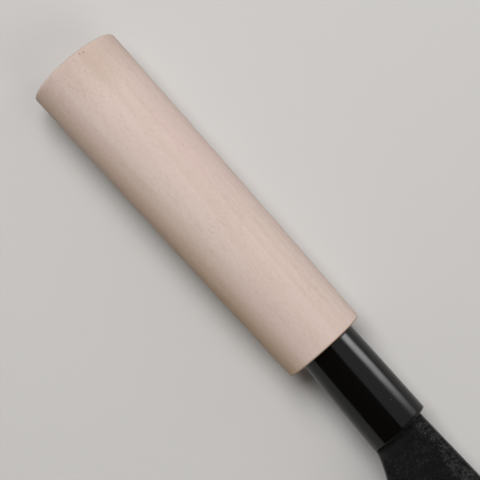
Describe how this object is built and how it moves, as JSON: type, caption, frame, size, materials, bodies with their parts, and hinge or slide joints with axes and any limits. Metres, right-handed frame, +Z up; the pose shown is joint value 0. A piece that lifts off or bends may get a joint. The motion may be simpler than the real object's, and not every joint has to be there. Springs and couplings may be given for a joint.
{
  "type": "nakiri knife",
  "caption": "Vegetable knife with a tall square-tipped laminated blade, black forge scale and a ground edge, on an oval pale wood handle with a glossy black ferrule.",
  "frame": {"origin": "middle of the underside: halfway between butt and tip and between edge and handle top, level with the lowest wood", "axes": "+X along the handle axis from butt to tip, +Y in the blade's plane from edge to spine, +Z up out of the right face"},
  "size_m": [0.3182, 0.0544, 0.0219],
  "materials": {
    "magnolia_wood": "satin",
    "black_ferrule": "gloss",
    "forge_scale_iron": "matte",
    "ground_steel": "satin",
    "bedding_resin": "satin"
  },
  "bodies": {
    "root": {"handle_grip": "magnolia_wood", "ferrule": "black_ferrule", "cladding_right": "forge_scale_iron", "cladding_left": "forge_scale_iron", "blade_core": "ground_steel", "tang_resin": "bedding_resin"}
  },
  "joints": []
}
